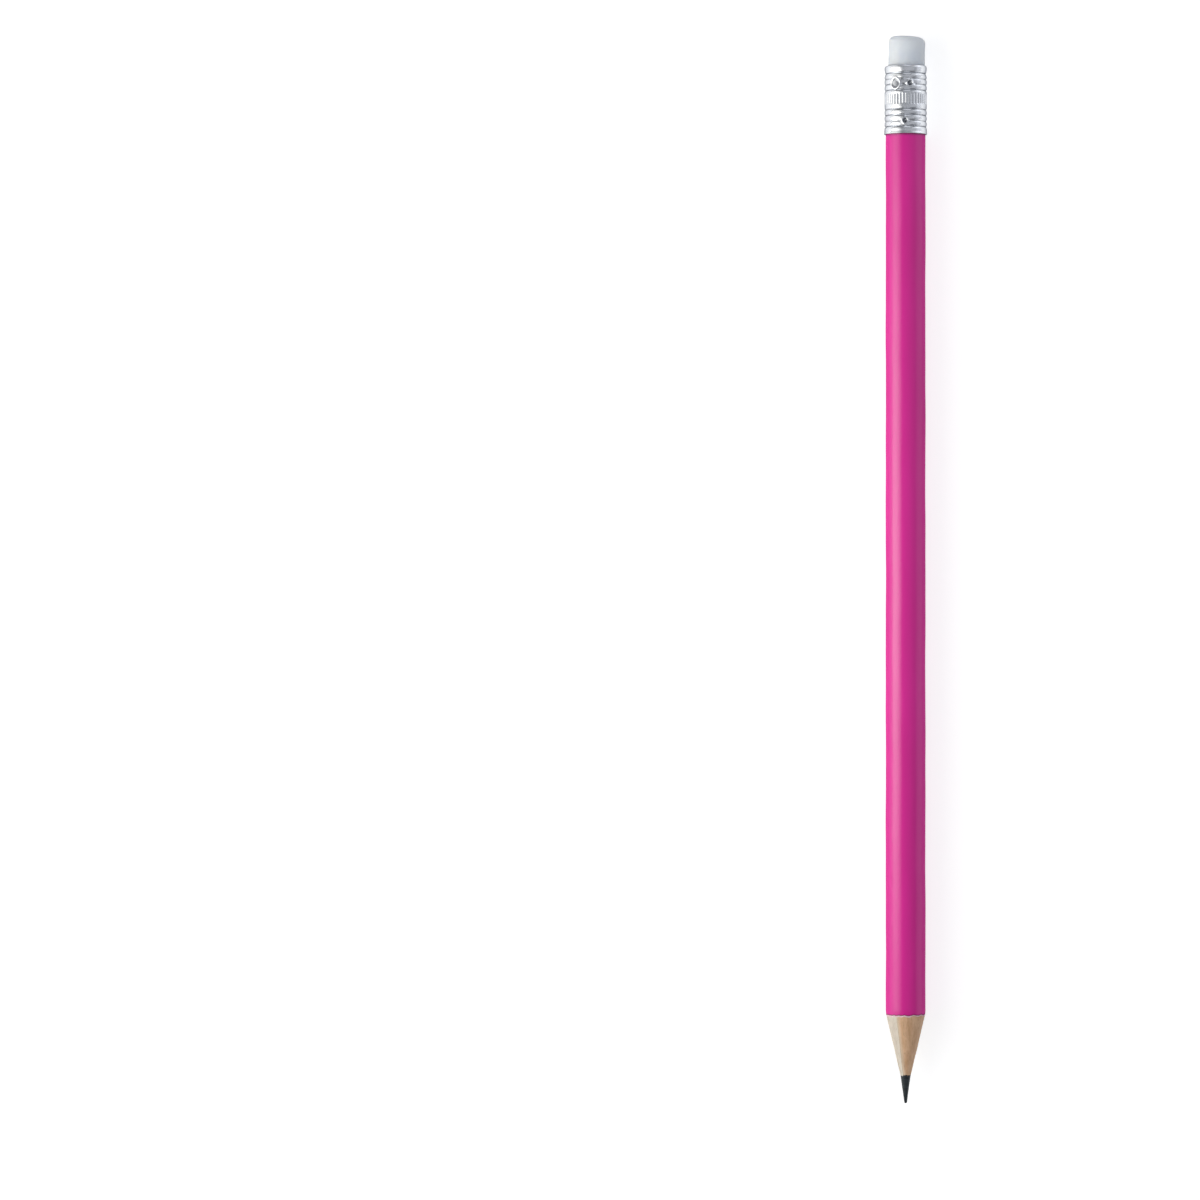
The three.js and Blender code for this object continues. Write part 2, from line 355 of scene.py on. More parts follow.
def primerMaterial():
    material, tree, surface = newMaterial("whitePrimer")
    stain = noise(tree, **primerLook["stains"])
    tone = tint(tree, stain, primerLook["stainRange"], primerLook["colour"], primerLook["stained"])
    setInput(tree, surface, "Base Color", tone)
    setInput(tree, surface, "Normal", bump(tree, stain, primerLook["stainHeight"]))
    surface.inputs["Roughness"].default_value = primerLook["roughness"]
    return material


woodLook = {
    # the darker and paler streaks of each half, and the wood next to the glue line; the left half's
    # pale, whitish tone is partly its own wood and partly a painted sheen of the light on its cut face
    "left": (linear(217, 205, 187), linear(236, 226, 211), linear(240, 230, 214)),
    "right": (linear(214, 168, 127), linear(240, 200, 161), linear(230, 209, 184)),
    "seamBlend": 0.65 * mm,
    "streaks": {"scale": (1300, 200, 1300), "detail": 5, "roughness": 0.65},
    "streakRange": (0.34, 0.68),
    "pore": linear(150, 110, 76),
    "fibres": {"scale": (5600, 240, 5600), "detail": 3, "roughness": 0.6},
    "fibreRange": (0.5, 0.75),
    "fibreStrength": 0.17,
    "flecks": {"scale": (3000, 700, 3000), "detail": 3, "roughness": 0.7},
    "fleckRange": (0.58, 0.74),
    "fleckStrength": 0.4,
    "fleckHeight": 0.012 * mm,
    "cutterRings": {"scale": (120, 6500, 120), "detail": 2},
    "ringHeight": 0.004 * mm,
    "roughness": (0.45, 0.62),
    "roughRange": (0.3, 0.7),
}


# pale streaks along the grain, short dark pores, and the faint rings that the cutter leaves
def woodMaterial(name, tones, start):
    dark, pale, seam = tones
    material, tree, surface = newMaterial(name)
    streak = noise(tree, **woodLook["streaks"])
    fibre = noise(tree, **woodLook["fibres"])
    fleck = noise(tree, **woodLook["flecks"])
    rings = noise(tree, **woodLook["cutterRings"])
    tone = tint(tree, streak, woodLook["streakRange"], dark, pale)
    toSeam = addNode(tree, "ShaderNodeMapping", Vector=objectPlace(tree))
    toSeam.inputs["Rotation"].default_value = (0, -start, 0)
    toSeam.inputs["Location"].default_value = (pencil["axisHeight"] * math.sin(start), 0, 0)
    depth = addNode(tree, "ShaderNodeSeparateXYZ", Vector=toSeam.outputs["Vector"]).outputs["X"]
    tone = mixColour(tree, remap(tree, depth, 0, woodLook["seamBlend"], 1, 0), tone, seam)
    tone = tint(tree, fibre, woodLook["fibreRange"], tone, woodLook["pore"], woodLook["fibreStrength"])
    tone = tint(tree, fleck, woodLook["fleckRange"], tone, woodLook["pore"], woodLook["fleckStrength"])
    setInput(tree, surface, "Base Color", tone)
    rough = remap(tree, streak, *woodLook["roughRange"], *woodLook["roughness"])
    setInput(tree, surface, "Roughness", rough)
    pitted = bump(tree, fleck, woodLook["fleckHeight"])
    setInput(tree, surface, "Normal", bump(tree, rings, woodLook["ringHeight"], pitted))
    return material


glueLook = {
    "colour": linear(216, 192, 158),
    "darker": linear(194, 166, 128),
    "patches": {"scale": (900, 300, 900)},
    "patchRange": (0.3, 0.7),
    "roughness": (0.4, 0.6),
}


def glueMaterial():
    material, tree, surface = newMaterial("woodGlue")
    patch = noise(tree, **glueLook["patches"])
    setInput(tree, surface, "Base Color", mixColour(tree, patch, glueLook["colour"], glueLook["darker"]))
    rough = remap(tree, patch, *glueLook["patchRange"], *glueLook["roughness"])
    setInput(tree, surface, "Roughness", rough)
    return material


graphiteLook = {
    "colour": linear(38, 44, 48),
    "burnished": linear(58, 66, 71),
    "grinding": {"scale": (500, 5200, 500), "detail": 3},
    "grindRange": (0.4, 0.7),
    "grindHeight": 0.006 * mm,
    "grains": {"scale": (5200, 5200, 5200), "detail": 2},
    "grainRange": (0.3, 0.7),
    "grainHeight": 0.006 * mm,
    "roughness": (0.3, 0.48),
    "metallic": 0.35,
}


def graphiteMaterial():
    material, tree, surface = newMaterial("graphite")
    grind = noise(tree, **graphiteLook["grinding"])
    grain = noise(tree, **graphiteLook["grains"])
    colour, burnished = graphiteLook["colour"], graphiteLook["burnished"]
    tone = tint(tree, grind, graphiteLook["grindRange"], colour, burnished)
    setInput(tree, surface, "Base Color", tone)
    rough = remap(tree, grain, *graphiteLook["grainRange"], *graphiteLook["roughness"])
    setInput(tree, surface, "Roughness", rough)
    grainy = bump(tree, grain, graphiteLook["grainHeight"])
    setInput(tree, surface, "Normal", bump(tree, grind, graphiteLook["grindHeight"], grainy))
    surface.inputs["Metallic"].default_value = graphiteLook["metallic"]
    return material


ferruleLook = {
    "bright": linear(234, 237, 241),
    "dull": linear(223, 226, 231),
    "stains": {"scale": (420, 420, 420), "detail": 3},
    "stainRange": (0.4, 0.7),
    "recessShadeColour": linear(128, 132, 138),
    "rubbing": {"scale": (700, 2600, 700), "detail": 4, "roughness": 0.6},
    "rubRange": (0.3, 0.72),
    "rubHeight": 0.0005 * mm,
    "roughness": (0.21, 0.29),
    "edgeTint": (0.2, 0.21, 0.23, 1),  # how little it mirrors at a glancing angle
}


# bright sheet, rougher where the tool rubbed it, with painted shade down in the grooves, flute valleys
# and dimples
def ferruleMaterial():
    material, tree, surface = newMaterial("pressedAluminium")
    rub = noise(tree, **ferruleLook["rubbing"])
    stain = noise(tree, **ferruleLook["stains"])
    sheet = tint(tree, stain, ferruleLook["stainRange"], ferruleLook["bright"], ferruleLook["dull"])
    # painted shade: the sheet darkens down in the grooves, flute valleys and dimples
    tone = mixColour(tree, pointMark(tree, "recessShade"), sheet, ferruleLook["recessShadeColour"])
    setInput(tree, surface, "Base Color", tone)
    rough = remap(tree, rub, *ferruleLook["rubRange"], *ferruleLook["roughness"])
    setInput(tree, surface, "Roughness", rough)
    setInput(tree, surface, "Normal", bump(tree, rub, ferruleLook["rubHeight"]))
    surface.inputs["Metallic"].default_value = 1
    surface.inputs["Specular Tint"].default_value = ferruleLook["edgeTint"]
    return material


rubberLook = {
    "colour": linear(237, 243, 254),
    "greyer": linear(228, 235, 248),
    "smudges": {"scale": (380, 300, 380), "detail": 4},
    "smudgeRange": (0.42, 0.72),
    "chalk": {"scale": (4200, 4200, 4200), "detail": 2},
    "chalkHeight": 0.014 * mm,
    "roughness": 0.78,
    "translucence": 0.8,
    "depth": 2.6 * mm,  # how far light travels inside
    "depthByColour": (1, 0.95, 0.9),
}


def rubberMaterial():
    material, tree, surface = newMaterial("whiteRubber")
    smudge = noise(tree, **rubberLook["smudges"])
    chalk = noise(tree, **rubberLook["chalk"])
    tone = tint(tree, smudge, rubberLook["smudgeRange"], rubberLook["colour"], rubberLook["greyer"])
    setInput(tree, surface, "Base Color", tone)
    setInput(tree, surface, "Normal", bump(tree, chalk, rubberLook["chalkHeight"]))
    surface.inputs["Roughness"].default_value = rubberLook["roughness"]
    surface.inputs["Subsurface Weight"].default_value = rubberLook["translucence"]
    surface.inputs["Subsurface Scale"].default_value = rubberLook["depth"]
    surface.inputs["Subsurface Radius"].default_value = rubberLook["depthByColour"]
    return material


# the pieces, from the point to the eraser

lead = {
    "tipRadius": 0.25 * mm,
    "tipStart": -75,  # degrees, where the rounded tip begins beside its flat end
    "tipSteps": 5,
    "hollow": 0.012 * mm,
    "rows": 20,
    "columns": 96,
    "wearWaves": [(0.015 * mm, 3, 9 * mm, 0.4), (0.0075 * mm, 7, 2.5 * mm, 1.9)],
    "wornLength": 2 * mm,  # from the tip to where the wear starts to fade out
}


def makeLead():
    tip, radius = pencil["tip"], lead["tipRadius"]
    profile = [(0, tip)] + arc((0, tip + radius), radius, lead["tipStart"], 0, lead["tipSteps"])
    for share in span(0, 1, lead["rows"])[1:]:
        straight = radius + (pencil["leadRadius"] - radius) * share
        y = tip + radius + (coneStart - tip - radius) * share
        profile.append((straight - lead["hollow"] * arch(share), y))
    profile += [(pencil["leadRadius"], pencil["tenonEnd"]), (0, pencil["tenonEnd"])]
    piece = drawProfile("graphiteCore", profile)
    turnProfile(piece, lead["columns"])

    def worn(r, turn, y):  # flats that the grinding leaves, fading out up the rod
        point = 1 - smoothStep(y, tip + lead["wornLength"], coneStart)
        wear = ripple(turn, y, lead["wearWaves"]) * point
        return np.maximum(r + wear * np.minimum(1, r / radius), 0), turn, y

    reshape(piece, worn)
    finishPiece(piece, "graphite_core", graphiteMaterial())


casing = {
    "grooveRadius": 0.91 * mm,
    "featherLand": 0.014 * mm,
    "featherReach": 1.5 * mm,  # how far up the cone the ragged edge is felt
    "featherWaves": [
        (0.08 * mm, 2, 0.9),
        (0.05 * mm, 5, 2.1),
        (0.03 * mm, 13, 0.2),
        (0.018 * mm, 29, 1.0),
    ],
    "coneWaves": [(0.012 * mm, 5, 6 * mm, 0.3), (0.008 * mm, 11, 3.3 * mm, 1.4)],
    "coneFade": 1 * mm,  # the length below the paint over which the waves fade out
    "glueHalf": 0.03 * mm,  # from the seam plane to the planed face
    "coneRows": 40,
    "tenonRows": 28,
    "columns": 120,
}


def makeCasingHalf(name, node, start, tones):
    woodEnd = coneStation(casing["grooveRadius"] + casing["featherLand"])
    coneTop = coneStation(pencil["woodRadius"])
    tenonRows = span(pencil["shoulder"], pencil["tenonEnd"], casing["tenonRows"])
    profile = [(casing["grooveRadius"], woodEnd)]
    profile += [(coneRadius(y), y) for y in span(woodEnd, coneTop, casing["coneRows"])]
    profile.append((pencil["woodRadius"], pencil["shoulder"]))
    profile += [(pencil["tenonRadius"], y) for y in tenonRows]
    profile.append((casing["grooveRadius"], pencil["tenonEnd"]))
    piece = drawProfile(name, profile, turn=start, closed=True)
    turnProfile(piece, casing["columns"], sweep=math.pi)

    def sharpened(r, turn, y):  # a ragged feather edge on the lead, and a cone that isn't quite true
        outside = r > casing["grooveRadius"] + meshing["slack"]
        near = 1 - smoothStep(y, woodEnd, woodEnd + casing["featherReach"])
        onCone = (1 - smoothStep(y, coneTop - casing["coneFade"], coneTop)) * outside
        wavedY = y + near * sway(turn, casing["featherWaves"])
        outer = r + coneSlope * (wavedY - y) + ripple(turn, y, casing["coneWaves"])
        onTenon = (y > pencil["shoulder"] + meshing["slack"]) * outside
        r = np.where(onTenon, np.minimum(r, pocketRadius(turn, y)), r)
        return np.where(onCone > 0, r + (outer - r) * onCone, r), turn, wavedY

    reshape(piece, sharpened)
    planeBack(piece, start, casing["glueHalf"])
    finishPiece(piece, node, woodMaterial(name + "Wood", tones, start))


# planes the two glued faces back from the seam, which leaves room for the glue line
def planeBack(piece, start, depth):
    outward = np.array([math.cos(start), 0, -math.sin(start)])
    places = readPlaces(piece)
    height = (places - np.array([0, 0, pencil["axisHeight"]])) @ outward
    places += np.outer(np.maximum(depth - height, 0), outward)
    writePlaces(piece, places)


# where the sharpener cut through the paint: rounded lobes hang towards the point, with cusps between
cutEdge = {
    "lobes": 15,
    "lobeDepth": 0.18 * mm,
    "lobeWarp": [(0.12, 3, 1.0), (0.06, 5, 2.2)],  # makes some lobes wider than others
    "swing": 0.7,  # the mean share of their depth that the lobes reach
    "swingWaves": [(0.3, 2, 0.4), (0.15, 7, 0)],
    "drop": 0.05 * mm,  # from the corner of the barrel to the highest cusps
    "slant": 0.07 * mm,  # higher on the right
    "primerWidth": 0.2 * mm,
    "primerNarrows": 0.07 * mm,  # towards the right
    "primerVaries": 0.06 * mm,
    "primerWaves": ((9, 0.8), (4, 0.3)),  # waves round and phase, multiplied
    "proud": 0.004 * mm,  # each film over the one below, so that neither shows through
    "bruise": 0.9 * mm,  # the length of paint that the cutter has pressed in
    "bruiseDepth": 0.048 * mm,
    "bruiseLobes": 0.012 * mm,
    "shadeReach": 0.27 * mm,  # how far up the paint the painted shade along the cut fades out
}


def lobesAt(turn):
    warped = turn + sway(turn, cutEdge["lobeWarp"])
    return np.abs(np.sin(cutEdge["lobes"] / 2 * warped))


def paintEdge(turn):
    swing = cutEdge["swing"] + sway(turn, cutEdge["swingWaves"])
    cusps = paintStart - cutEdge["drop"] - cutEdge["slant"] * (1 - np.sin(turn))
    return cusps - cutEdge["lobeDepth"] * swing * lobesAt(turn)


def paintCorner(turn):
    return np.full_like(turn, paintStart)


def primerStart(turn):
    return paintEdge(turn) + cutEdge["drop"]


def primerEdge(turn):
    width = cutEdge["primerWidth"] - cutEdge["primerNarrows"] * np.sin(turn)
    (quick, quickPhase), (slow, slowPhase) = cutEdge["primerWaves"]
    varies = np.sin(quick * turn + quickPhase) * np.sin(slow * turn + slowPhase)
    return paintEdge(turn) - width - cutEdge["primerVaries"] * varies


film = {
    "primerThickness": 0.05 * mm,
    "paintThickness": 0.06 * mm,
    "tuckIn": 0.02 * mm,  # the inner corner of the cut face, inwards and up
    "tuckUp": 0.01 * mm,
    "underFace": 0.015 * mm,  # how far below the cut face the inside stays
    "waves": [
        (0.018 * mm, 1, 31 * mm, 0.5),
        (0.014 * mm, 2, 17 * mm, 2.0),
        (0.009 * mm, 3, 9.5 * mm, 4.1),
    ],
    "fadeAtCut": 4 * mm,  # the lengths over which the waves fade out
    "fadeAtFerrule": 3 * mm,
    "columns": 240,
    "rows": 64,
    "endRows": 10,
    "cutRows": 5,
}


# a sleeve of paint: outside, cut face on the cone, inside, and the end under the ferrule
def makeFilm(name, node, material, radius, thickness, start, edge, layer):
    base = coneStation(radius - thickness)
    top = coneStation(radius)
    inner = radius - thickness
    bruiseEnd = top + cutEdge["bruise"]
    profile = [(radius, y) for y in span(pencil["shoulder"], bruiseEnd, film["rows"])]
    profile += [(radius, y) for y in span(bruiseEnd, top, film["endRows"])[1:]]
    profile += [(coneRadius(y), y) for y in span(top, base, film["cutRows"])[1:]]
    profile.append((inner - film["tuckIn"], base + film["tuckUp"]))
    profile += [(inner, top), (inner, pencil["shoulder"])]
    piece = drawProfile(name, profile, closed=True)
    turnProfile(piece, film["columns"])
    cutShadeMask = {}

    def cut(r, turn, y):
        first, last = start(turn), edge(turn)
        share = np.clip((top - y) / (top - base), 0, 1)
        cutY = np.where(y < top + meshing["slack"], first + share * (last - first), y)
        onFace = r > np.minimum(radius, coneRadius(y)) - meshing["slack"]
        endR = coneRadius(last) + layer * cutEdge["proud"]
        depth = np.clip(radius - endR, 0, cutEdge["bruiseDepth"])
        faceR = radius - depth + share * (endR - radius + depth)
        cutR = np.where(onFace, faceR, np.minimum(r, faceR - film["underFace"]))
        body = smoothStep(y, top, top + film["fadeAtCut"])
        body = body * (1 - smoothStep(y, pencil["mouth"] - film["fadeAtFerrule"], pencil["mouth"]))
        near = np.clip((bruiseEnd - cutY) / (bruiseEnd - top), 0, 1)
        pressed = depth * near ** 2 - cutEdge["bruiseLobes"] * lobesAt(turn) * arch(near)
        waved = r + ripple(turn, y, film["waves"]) * body - pressed * onFace * (share <= 0)
        # where the painted shade along the cut edge falls, kept for the material
        cutShadeMask["value"] = smoothStep(last + cutEdge["shadeReach"] - cutY, 0, cutEdge["shadeReach"]) * onFace
        return np.where(share > 0, cutR, waved), turn, cutY

    reshape(piece, cut)
    markPoints(piece, "paintedCutShade", cutShadeMask["value"])
    finishPiece(piece, node, material)


tube = {
    "wall": 0.2 * mm,
    "ridgeRadius": 3.72 * mm,
    "mouthRadius": 3.75 * mm,
    "lipRadius": 3.31 * mm,
    "pitch": 1.0 * mm,
    "ridges": 3,
    "grooveDepth": 0.2 * mm,
    "grooveSharpness": 2.2,
    "grooveShade": 0.2,
    "mouthBand": 1.27 * mm,
    "middleBand": 3.38 * mm,
    "mouthFlare": 0.05 * mm,
    "flareHeight": 0.45 * mm,
    "topTaper": 0.08 * mm,  # how much the top band narrows towards its groove
    "flutes": 38,
    "fluteDepth": 0.085 * mm,
    "fluteShade": 0.3,
    "fluteMargins": (0.81 * mm, 0.53 * mm),  # plain sheet below and above the flutes
    "fluteFade": 0.2 * mm,
    "columns": 456,
    "rows": 136,
    "innerRows": 26,
    "lipSteps": 8,
    "innerLipSteps": 4,
}
lowerRidges = pencil["mouth"] + tube["mouthBand"]
middleStart = lowerRidges + tube["ridges"] * tube["pitch"]
upperRidges = middleStart + tube["middleBand"]
grooveStations = [
    start + i * tube["pitch"]
    for start in (lowerRidges, upperRidges)
    for i in range(tube["ridges"] + 1)
]

punch = {
    # floor, collar and crushEnd are counted in half sizes from a dimple's middle, one with lean
    # gets deeper towards the right, and dark is how much painted shade fills it
    "dimples": (
        {
            "turn": math.radians(-33), "ridges": upperRidges, "depth": 0.2 * mm,
            "halfWidth": 0.86 * mm, "halfHeight": 0.92 * mm,
            "floor": 0.7, "collar": 1.12, "crushEnd": 1.4, "lean": 0.24, "dark": 0.5,
        },
        {
            "turn": math.radians(8.6), "ridges": upperRidges, "depth": 0.28 * mm,
            "halfWidth": 0.52 * mm, "halfHeight": 0.58 * mm,
            "floor": 0.4, "collar": 1.0, "crushEnd": 2.4, "lean": 0, "dark": 1,
        },
        {
            "turn": math.radians(-5.5), "ridges": lowerRidges - 0.18 * mm, "depth": 0.3 * mm,
            "halfWidth": 0.5 * mm, "halfHeight": 0.56 * mm,
            "floor": 0.38, "collar": 1.05, "crushEnd": 2.2, "lean": 0, "dark": 1,
        },
    ),
    "rise": 1.15 * mm,  # above the lowest groove of a group of ridges
    "corner": 1.6,  # 2 is an oval, 1 a diamond
    "collarWidth": 0.26,
    "collarHeight": 0.07 * mm,
    "clearance": 0.05 * mm,  # between the sheet and what it is pressed into
}


def grooveAt(y):
    nearest = np.min([np.abs(y - station) for station in grooveStations], axis=0)
    wave = np.sin(math.pi * np.minimum(nearest, tube["pitch"] / 2) / tube["pitch"])
    return tube["grooveDepth"] * (1 - wave) ** tube["grooveSharpness"]


# how the punches work the sheet on both sides: depth pressed in, collar thrown up round it,
# how far the ridges are crushed, and the painted shade inside them
def punched(turn, y):
    pressed, ring, crushed, shade = (np.zeros_like(y) for _ in range(4))
    corner = punch["corner"]
    for side in (0, math.pi):
        for dimple in punch["dimples"]:
            aside = np.angle(np.exp(1j * (turn - dimple["turn"] - side))) * tube["ridgeRadius"]
            around = np.abs(aside) / dimple["halfWidth"]
            along = np.abs(y - dimple["ridges"] - punch["rise"]) / dimple["halfHeight"]
            distance = (around ** corner + along ** corner) ** (1 / corner)
            inside = 1 - smoothStep(distance, dimple["floor"], 1)
            pressed = np.maximum(pressed, (dimple["depth"] + dimple["lean"] * aside) * inside)
            shade = np.maximum(shade, dimple["dark"] * inside)
            offCollar = (distance - dimple["collar"]) / punch["collarWidth"]
            ring = np.maximum(ring, np.exp(-(offCollar ** 2)))
            crushed = np.maximum(crushed, 1 - smoothStep(distance, dimple["collar"], dimple["crushEnd"]))
    return pressed, ring, crushed, shade


# what stays of the wood or rubber under a dimple
def pocketRadius(turn, y):
    return tube["ridgeRadius"] - tube["wall"] - punch["clearance"] - punched(turn, y)[0]


def makeFerrule():
    ridge, wall, lip = tube["ridgeRadius"], tube["wall"], tube["lipRadius"]
    top, mouth = pencil["ferruleTop"], pencil["mouth"]
    lipTurn = ridge - lip
    lipCentre = (lip, top - lipTurn)
    bandStart = upperRidges + tube["ridges"] * tube["pitch"]

    def skin(y):  # outside radius before flutes and punches
        flare = tube["mouthFlare"] * (1 - smoothStep(y, mouth, mouth + tube["flareHeight"]))
        toRidge = smoothStep(y, mouth + tube["mouthBand"] / 2, lowerRidges)
        taper = tube["topTaper"] * (1 - smoothStep(y, bandStart, lipCentre[1]))
        taper = taper * (y > bandStart - tube["pitch"] / 2)
        return tube["mouthRadius"] + (ridge - tube["mouthRadius"]) * toRidge + flare - taper - grooveAt(y)

    profile = [(float(skin(y)), y) for y in span(mouth, lipCentre[1], tube["rows"])]
    profile += arc(lipCentre, lipTurn, 0, 90, tube["lipSteps"])[1:]
    profile += arc(lipCentre, lipTurn - wall, 90, 0, tube["innerLipSteps"])[:-1]
    profile += [(float(skin(y)) - wall, y) for y in span(lipCentre[1], mouth, tube["innerRows"])]
    piece = drawProfile("pressedFerrule", profile, closed=True)
    turnProfile(piece, tube["columns"])
    fluteStart = middleStart + tube["fluteMargins"][0]
    fluteEnd = upperRidges - tube["fluteMargins"][1]
    recessShade = {}

    # the lip is turned in until it touches the eraser, which stands a little to the right
    def turnedIn(r, turn, y):
        reach = np.hypot(r - lip, y - lipCentre[1])
        share = np.clip(1 - (r - lip) / np.maximum(reach, meshing["slack"]), 0, 1)
        touch = plug["freeRadius"] + plug["lipGap"] + plug["leanAtLip"] * np.sin(turn)
        return r + share * (touch - lip)

    def embossed(r, turn, y):
        pressed, ring, crushed, shade = punched(turn, y)
        inBand = smoothStep(y, fluteStart, fluteStart + tube["fluteFade"])
        inBand = inBand * (1 - smoothStep(y, fluteEnd - tube["fluteFade"], fluteEnd))
        outer = r > skin(y) - wall / 2
        flute = 1 - np.abs(np.cos(tube["flutes"] * turn / 2))  # round beads with sharp valleys
        fluted = flute * inBand * outer
        groove = grooveAt(y) * (1 - crushed)
        # painted shade, deeper in the grooves and flute valleys and inside the dimples
        grooveAndFluteShade = tube["grooveShade"] * groove / tube["grooveDepth"] + tube["fluteShade"] * fluted
        recessShade["value"] = np.clip(grooveAndFluteShade + shade, 0, 1)
        raised = grooveAt(y) * crushed + punch["collarHeight"] * ring
        lifted = r + raised - pressed - tube["fluteDepth"] * fluted
        belowLip = y <= lipCentre[1] + meshing["slack"]
        return np.where(belowLip, lifted, turnedIn(r, turn, y)), turn, y

    reshape(piece, embossed)
    markPoints(piece, "recessShade", recessShade["value"])
    finishPiece(piece, "ferrule", ferruleMaterial())


plug = {
    "freeRadius": 3.21 * mm,
    "edgeRadius": 1.05 * mm,
    "tilt": math.radians(3.5),
    "waves": [
        (0.012 * mm, 2, 6 * mm, 0.2),
        (0.009 * mm, 5, 3.1 * mm, 1.2),
        (0.006 * mm, 9, 1.7 * mm, 2.6),
    ],
    "crown": 0.06 * mm,
    "crownShare": 0.5,  # the part of the rounded edge, from the end, that rises with the crown
    "waistStart": 1.3 * mm,  # from the lip down to where the crimp starts to narrow it
    "waistEnd": 0.5 * mm,
    "lipGap": 0.012 * mm,
    "leanAtLip": 0.16 * mm,  # it stands a little over to the right
    "leanAtEnd": 0.26 * mm,
    "leftBulge": 0.03 * mm,  # squeezed out over the lip
    "bulgeHeight": 0.35 * mm,
    "columns": 144,
    "heldRows": 36,
    "freeRows": 22,
    "edgeSteps": 12,
    "endRows": 8,
}


def makeEraser():
    base, radius, edge = eraserLow.y, pencil["tenonRadius"], plug["edgeRadius"]
    free = plug["freeRadius"]
    top = eraserHigh.y - (free - edge) * math.tan(plug["tilt"])
    lip = pencil["ferruleTop"]
    profile = [(0, base), (radius, base)]
    for y in span(base, lip, plug["heldRows"])[1:] + span(lip, top - edge, plug["freeRows"])[1:]:
        narrowed = float(smoothStep(y, lip - plug["waistStart"], lip - plug["waistEnd"]))
        profile.append((radius + (free - radius) * narrowed, y))
    profile += arc((free - edge, top - edge), edge, 0, 90, plug["edgeSteps"])[1:]
    profile += [(r, top) for r in span(free - edge, 0, plug["endRows"])[1:]]
    piece = drawProfile("eraserPlug", profile)
    turnProfile(piece, plug["columns"])

    # slants down to the right, a little crowned, and the sides aren't quite true
    def cutOff(r, turn, y):
        shown = smoothStep(y, lip, top - edge)
        crown = plug["crown"] * (1 - (r / free) ** 2) * (y > top - edge * plug["crownShare"])
        squeezed = np.exp(-(((y - lip) / plug["bulgeHeight"]) ** 2)) * np.maximum(0, -np.sin(turn))
        bulge = plug["leftBulge"] * squeezed * (y > lip)
        waved = r + (ripple(turn, y, plug["waves"]) * shown + bulge) * np.minimum(1, r / free)
        waved = np.where((y < lip) * (y > base), np.minimum(waved, pocketRadius(turn, y)), waved)
        rise = np.clip((y - lip) / (top - lip), 0, 1)
        lean = plug["leanAtLip"] * smoothStep(y, lip - plug["waistStart"], lip)
        lean = lean + (plug["leanAtEnd"] - plug["leanAtLip"]) * rise
        return waved, turn, y + crown - shown * r * np.sin(turn) * math.tan(plug["tilt"]), lean

    reshape(piece, cutOff)
    finishPiece(piece, "eraser_plug", rubberMaterial())


rightTurn = pencil["seamTurn"]
leftTurn = pencil["seamTurn"] + math.pi
makeLead()
makeCasingHalf("casingRight", "casing_half_right", rightTurn, woodLook["right"])
makeCasingHalf("casingLeft", "casing_half_left", leftTurn, woodLook["left"])
makeFilm("primerFilm", "undercoat", primerMaterial(), pencil["undercoatRadius"],
         film["primerThickness"], primerStart, primerEdge, 1)
makeFilm("paintFilm", "colour_coat", paintMaterial(), pencil["barrelRadius"],
         film["paintThickness"], paintCorner, paintEdge, 2)
makeFerrule()
makeEraser()

glue = glueMaterial()
for name in ("glue_line_front", "glue_line_back"):
    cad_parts[name].data.materials.clear()
    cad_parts[name].data.materials.append(glue)
print("dressed the glue lines")


# the stage

stage = {
    "floorSize": 8.0,
    "floorColour": (0.62, 0.62, 0.62, 1),
    "floorLift": (0.7, 1.0),  # round the pencil, and far away where the panels don't reach
    "liftReach": (0.18, 0.27),
    "worldLevels": (0.14, 0.2),  # low down, and overhead
    "worldRise": (0.25, 0.9),
    "coolTint": (0.97, 0.99, 1.05),
    "warmTint": (1.02, 1.0, 0.95),
    # degrees round from +X, degrees up, distance, shift along +Y, height, length, radiance
    "panels": {
        "keyPanel": (180, 32.5, 0.24, 0, 0.26, 0.46, 4.3),
        "fillPanel": (0, 17, 0.5, -0.04, 0.27, 1.3, 0.6),
        "endCard": (0, 30, 0.45, 0.32, 0.6, 0.5, 1.2),
        "topPanel": (0, 74, 0.5, 0.04, 1.6, 1.0, 0.31),
        "backCard": (85, 28, 0.75, 0, 0.76, 0.4, 0.6),
        "frontCard": (-85, 28, 0.75, 0, 0.76, 0.4, 0.42),
    },
    # along and across: how far from its middle a panel stays strong; rest: what is left at its ends;
    # top: the share of its height that fades; edge: what is left at its top edge
    "fades": {
        "keyPanel": {"along": 0.084, "rest": 0.14, "top": 0.45, "edge": 0.3},
        "fillPanel": {"along": 0.18, "rest": 0.6, "top": 0.3},
        "endCard": {"along": 0.13, "rest": 0, "top": 0.5},
        "topPanel": {"along": 0.2, "rest": 0, "across": 0.55},
    },
}


def makeFloor():
    deselectAll()
    bpy.ops.mesh.primitive_plane_add(size=stage["floorSize"], location=(0, 0, 0))
    floor = bpy.context.object
    floor.name = "floor"
    material, tree, surface = newMaterial("palePaper")
    surface.inputs["Base Color"].default_value = stage["floorColour"]
    surface.inputs["Roughness"].default_value = 1
    surface.inputs["Specular IOR Level"].default_value = 0
    surface.inputs["Emission Color"].default_value = (1, 1, 1, 1)
    path = addNode(tree, "ShaderNodeLightPath")
    seen = calculate(tree, "MAXIMUM", path.outputs["Is Camera Ray"], path.outputs["Is Glossy Ray"])
    seen = calculate(tree, "MAXIMUM", seen, path.outputs["Is Transmission Ray"])
    distance = addNode(tree, "ShaderNodeVectorMath", {"operation": "LENGTH"}, Vector=objectPlace(tree))
    lift = remap(tree, distance.outputs["Value"], *stage["liftReach"], *stage["floorLift"])
    setInput(tree, surface, "Emission Strength", calculate(tree, "MULTIPLY", seen, lift))
    floor.data.materials.append(material)


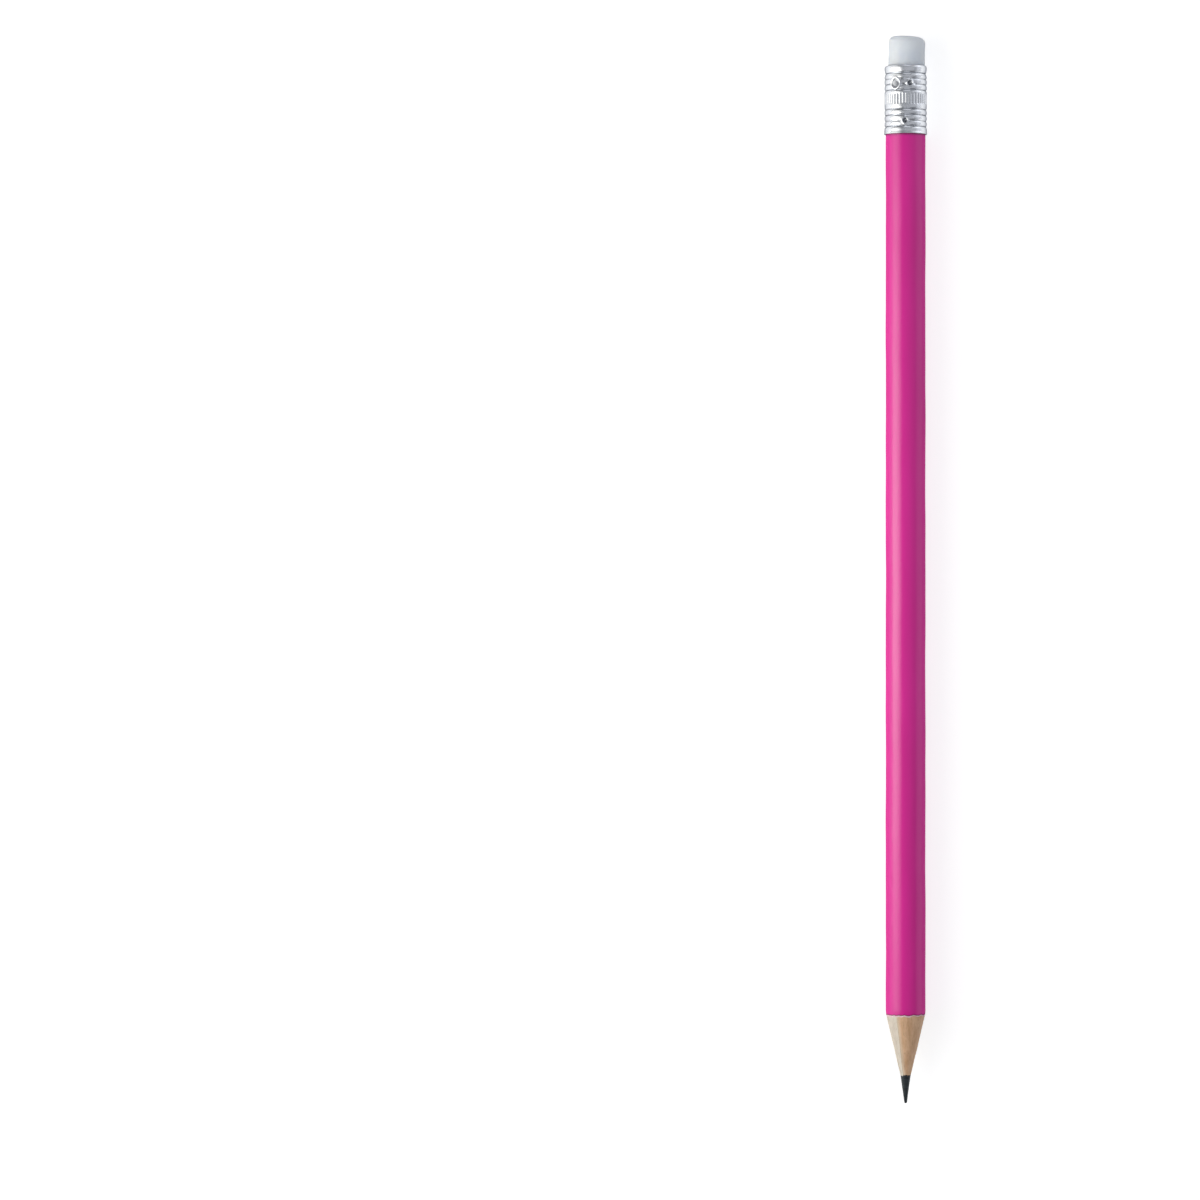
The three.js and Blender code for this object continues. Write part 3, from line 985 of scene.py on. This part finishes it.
# a soft panel that faces the pencil
def makePanel(name, azimuth, elevation, distance, along, height, length, radiance):
    deselectAll()
    around, up = math.radians(azimuth), math.radians(elevation)
    aside, above = distance * math.cos(up), distance * math.sin(up)
    place = (aside * math.cos(around), aside * math.sin(around) + along, pencil["axisHeight"] + above)
    bpy.ops.object.light_add(type="AREA", location=place)
    lamp = bpy.context.object
    lamp.name = name
    lamp.rotation_euler = (0, math.pi / 2 - up, around)
    lamp.data.shape = "RECTANGLE"
    lamp.data.size = height
    lamp.data.size_y = length
    lamp.data.energy = radiance * math.pi * height * length
    lamp.data.color = stage["warmTint" if name == "keyPanel" else "coolTint"]
    lamp.visible_camera = False
    if name in stage["fades"]:
        fadePanel(lamp.data, **stage["fades"][name])


# 1 in the middle of a panel, falling off like a bell to both sides
def bell(tree, place, spread):
    offset = remap(tree, place, 0, 1, -0.5 / spread, 0.5 / spread)
    squared = calculate(tree, "MULTIPLY", offset, offset)
    return calculate(tree, "POWER", math.exp(-1), squared)


# lets a panel fall off along its length, and either to both sides across it or towards its top edge
def fadePanel(light, along, rest, across=None, top=None, edge=0):
    light.use_nodes = True
    tree = light.node_tree
    place = addNode(tree, "ShaderNodeNewGeometry").outputs["Parametric"]
    parts = addNode(tree, "ShaderNodeSeparateXYZ", Vector=place)
    lengthwise = remap(tree, bell(tree, parts.outputs["Y"], along / light.size_y), 0, 1, rest, 1)
    if across:
        crosswise = bell(tree, parts.outputs["X"], across / light.size)
    else:
        crosswise = remap(tree, parts.outputs["X"], 0, top, edge, 1)
    level = calculate(tree, "MULTIPLY", lengthwise, crosswise)
    setInput(tree, tree.nodes["Emission"], "Strength", level)


# a dim room with a paler ceiling
def makeWorld():
    world = bpy.data.worlds.new("studio")
    bpy.context.scene.world = world
    world.use_nodes = True
    tree = world.node_tree
    direction = addNode(tree, "ShaderNodeTexCoord").outputs["Generated"]
    upwards = addNode(tree, "ShaderNodeSeparateXYZ", Vector=direction).outputs["Z"]
    level = remap(tree, upwards, *stage["worldRise"], *stage["worldLevels"])
    tree.nodes["Background"].inputs["Color"].default_value = (*stage["coolTint"], 1)
    setInput(tree, tree.nodes["Background"], "Strength", level)


# straight down, with the point at the bottom and the pencil right of the middle, as in the photograph
view = {
    "photoSize": 1200,
    "pencilAcross": 905.6,
    "tipDown": 1103.2,
    "scale": 5.669 / mm,
    "distance": 950 * mm,
    "clipEnd": 20,
}


def makeCamera():
    deselectAll()
    half = view["photoSize"] / 2
    x = -(view["pencilAcross"] - half) / view["scale"]
    y = pencil["tip"] + (view["tipDown"] - half) / view["scale"]
    place = (x, y, pencil["axisHeight"] + view["distance"])
    bpy.ops.object.camera_add(location=place, rotation=(0, 0, 0))
    camera = bpy.context.object
    camera.name = "photoCamera"
    camera.data.lens = camera.data.sensor_width * view["distance"] * view["scale"] / view["photoSize"]
    camera.data.clip_end = view["clipEnd"]
    bpy.context.scene.camera = camera


makeFloor()
for name, panel in stage["panels"].items():
    makePanel(name, *panel)
makeWorld()
makeCamera()
bpy.context.scene.view_settings.view_transform = "Standard"
print("set the stage")
